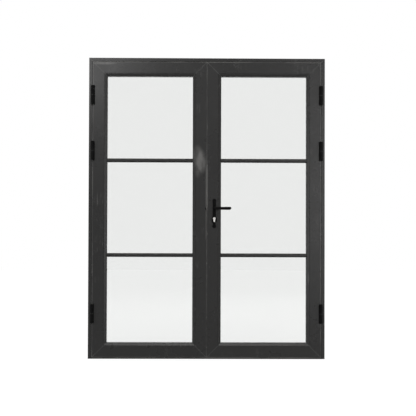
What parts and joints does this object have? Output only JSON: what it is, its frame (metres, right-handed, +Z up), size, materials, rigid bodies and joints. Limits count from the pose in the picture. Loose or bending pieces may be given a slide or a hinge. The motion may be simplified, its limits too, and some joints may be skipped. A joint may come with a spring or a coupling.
{
  "type": "aluminium double door",
  "caption": "Aluminium double door in its frame: glazed mitred leaves with horizontal glazing bars, barrel hinges, a lever handle with lock cylinder, and a low threshold.",
  "frame": {"origin": "on the floor under the threshold, at mid width and mid depth of the frame", "axes": "+X to the viewer's right along the width, +Y away from the viewer through the frame's depth, +Z up"},
  "size_m": [1.65, 0.17, 2.1],
  "materials": {
    "anthracite_coating": "satin anthracite powder coating on extruded aluminium",
    "black_hardware": "satin black coating on cast fittings",
    "clear_glass": "clear sealed double glazing",
    "seal_rubber": "matt black rubber",
    "seal_brush": "black pile",
    "spacer_aluminium": "dull dark spacer",
    "mill_aluminium": "bare extruded aluminium",
    "block_plastic": "moulded plastic",
    "black_nylon": "smooth nylon",
    "bright_steel": "zinc plated steel",
    "zinc_steel": "dull zinc plated steel",
    "nickel_brass": "satin nickel plate"
  },
  "bodies": {
    "frame": {"frame_head": "anthracite_coating", "frame_jamb_left": "anthracite_coating", "frame_jamb_right": "anthracite_coating", "threshold": "anthracite_coating", "frame_corner_cleats": "mill_aluminium", "frame_gasket": "seal_rubber", "hinge_pins": "bright_steel", "hinge_bushes": "black_nylon", "flush_bolt_keeps": "bright_steel", "left_hinge_bottom_frame_knuckle": "black_hardware", "left_hinge_middle_frame_knuckle": "black_hardware", "left_hinge_top_frame_knuckle": "black_hardware", "right_hinge_bottom_frame_knuckle": "black_hardware", "right_hinge_middle_frame_knuckle": "black_hardware", "right_hinge_top_frame_knuckle": "black_hardware"},
    "left_leaf": {"left_hinge_bottom_leaf_knuckle": "black_hardware", "left_hinge_middle_leaf_knuckle": "black_hardware", "left_hinge_top_leaf_knuckle": "black_hardware", "left_leaf_hinge_stile": "anthracite_coating", "left_leaf_meeting_stile": "anthracite_coating", "left_leaf_top_rail": "anthracite_coating", "left_leaf_bottom_rail": "anthracite_coating", "left_leaf_corner_cleats": "mill_aluminium", "left_glass": "clear_glass", "left_glass_spacer": "spacer_aluminium", "left_glazing_beads": "anthracite_coating", "left_glazing_gaskets": "seal_rubber", "left_setting_blocks": "block_plastic", "left_glazing_bars": "anthracite_coating", "meeting_seal": "seal_brush", "strike_plate": "black_hardware", "flush_bolt_guides": "bright_steel"},
    "right_leaf": {"right_hinge_bottom_leaf_knuckle": "black_hardware", "right_hinge_middle_leaf_knuckle": "black_hardware", "right_hinge_top_leaf_knuckle": "black_hardware", "right_leaf_hinge_stile": "anthracite_coating", "right_leaf_meeting_stile": "anthracite_coating", "right_leaf_top_rail": "anthracite_coating", "right_leaf_bottom_rail": "anthracite_coating", "right_leaf_corner_cleats": "mill_aluminium", "right_glass": "clear_glass", "right_glass_spacer": "spacer_aluminium", "right_glazing_beads": "anthracite_coating", "right_glazing_gaskets": "seal_rubber", "right_setting_blocks": "block_plastic", "right_glazing_bars": "anthracite_coating", "lock_case": "zinc_steel", "lock_faceplate": "black_hardware", "lock_cylinder": "nickel_brass", "handle_plate_front": "black_hardware", "handle_plate_rear": "black_hardware", "handle_screws": "bright_steel"},
    "lever_handles": {"lever_front": "black_hardware", "lever_rear": "black_hardware", "spindle": "zinc_steel"},
    "latch": {"latch_bolt": "bright_steel"},
    "dead_bolt_slide": {"dead_bolt": "bright_steel"},
    "key_plug": {"cylinder_plug": "nickel_brass"},
    "upper_flush_bolt": {"flush_bolt_upper": "bright_steel"},
    "lower_flush_bolt": {"flush_bolt_lower": "bright_steel"}
  },
  "joints": [
    {"name": "left_leaf_swing", "type": "hinge", "parent": "frame", "child": "left_leaf", "pos_m": [-0.798, -0.0465, 1.0775], "axis": [0, 0, -1], "range_deg": [0, 170]},
    {"name": "right_leaf_swing", "type": "hinge", "parent": "frame", "child": "right_leaf", "pos_m": [0.798, -0.0465, 1.0775], "axis": [0, 0, 1], "range_deg": [0, 170]},
    {"name": "lever_turn", "type": "hinge", "parent": "right_leaf", "child": "lever_handles", "pos_m": [0.0525, -0.0035, 1.05], "axis": [0, 1, 0], "range_deg": [0, 40], "stiffness_Nm_per_rad": 1.5, "springref_deg": -28.65},
    {"name": "latch_slide", "type": "slide", "parent": "right_leaf", "child": "latch", "axis": [1, 0, 0], "range_m": [0, 0.011]},
    {"name": "key_turn", "type": "hinge", "parent": "right_leaf", "child": "key_plug", "pos_m": [0.0525, -0.0035, 0.978], "axis": [0, 1, 0], "range_deg": [0, 360]},
    {"name": "dead_bolt_throw", "type": "slide", "parent": "right_leaf", "child": "dead_bolt_slide", "axis": [-1, 0, 0], "range_m": [0, 0.02]},
    {"name": "upper_flush_bolt_throw", "type": "slide", "parent": "left_leaf", "child": "upper_flush_bolt", "axis": [0, 0, 1], "range_m": [0, 0.02]},
    {"name": "lower_flush_bolt_throw", "type": "slide", "parent": "left_leaf", "child": "lower_flush_bolt", "axis": [0, 0, -1], "range_m": [0, 0.012]}
  ],
  "couplings": [
    {"joint": "latch_slide", "follows": "lever_turn", "m_per_rad": 0.01575},
    {"joint": "key_turn", "follows": "dead_bolt_throw", "rad_per_m": 314.16}
  ]
}
